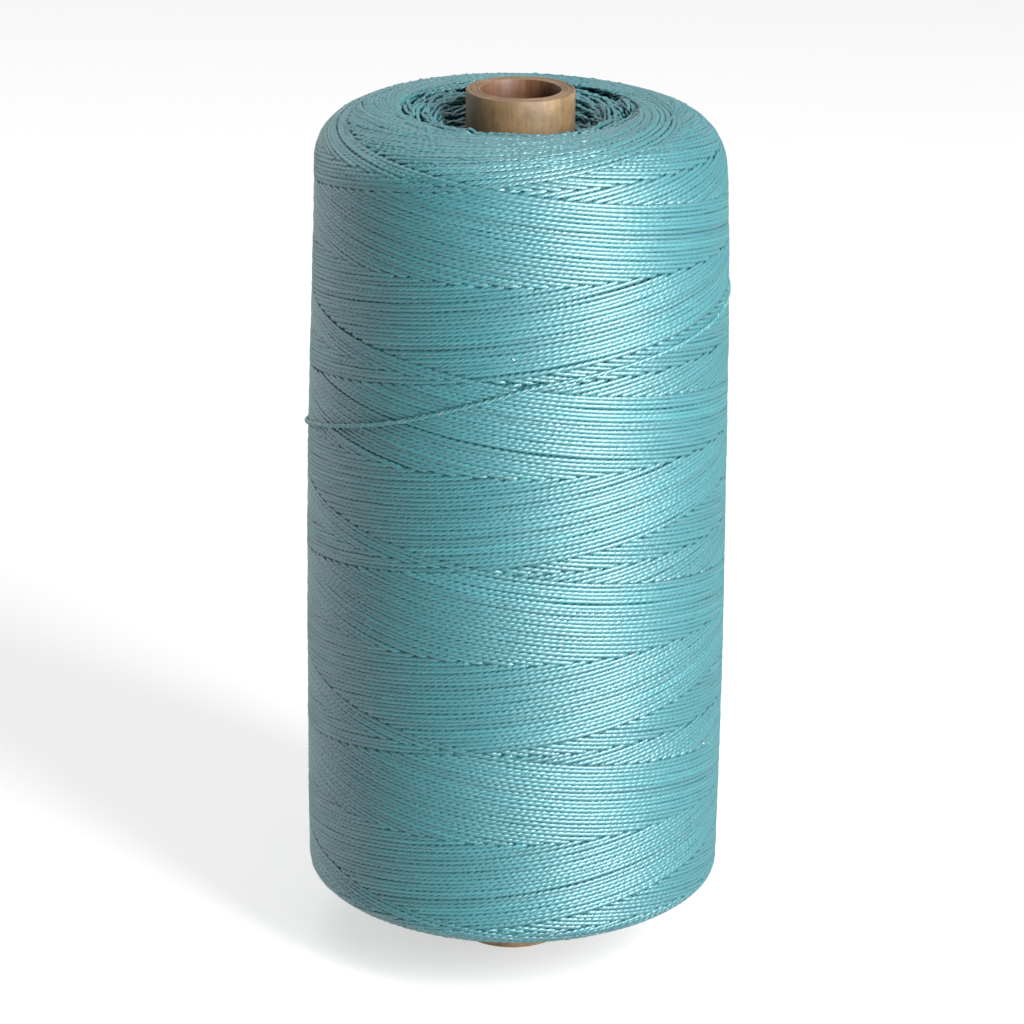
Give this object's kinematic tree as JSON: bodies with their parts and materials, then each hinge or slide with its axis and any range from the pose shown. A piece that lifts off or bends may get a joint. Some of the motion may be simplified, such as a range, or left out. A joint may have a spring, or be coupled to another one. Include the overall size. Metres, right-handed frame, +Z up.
{
  "type": "wound thread package",
  "caption": "Cylindrical package of turquoise plied thread, cross-wound with rounded shoulders and dished ends on a spiral-wound kraft paper tube.",
  "frame": {"origin": "centre of the paper tube's lower end, on the plane the package stands on", "axes": "+Z runs up the tube's axis; -Y faces the viewer of the winding's front crossings; the package is round about Z"},
  "size_m": [0.0705, 0.0701, 0.146],
  "materials": {
    "kraft_paper": "matte",
    "thread": "satin"
  },
  "bodies": {
    "root": {"tube_liner": "kraft_paper", "tube_ply_2": "kraft_paper", "tube_ply_3": "kraft_paper", "tube_ply_4": "kraft_paper", "tube_outer_ply": "kraft_paper", "yarn_layer_1": "thread", "yarn_layer_2": "thread", "yarn_layer_3": "thread", "yarn_layer_4": "thread", "yarn_layer_5": "thread", "yarn_layer_6": "thread", "yarn_layer_7": "thread", "yarn_layer_8": "thread", "running_end": "thread"}
  },
  "joints": []
}
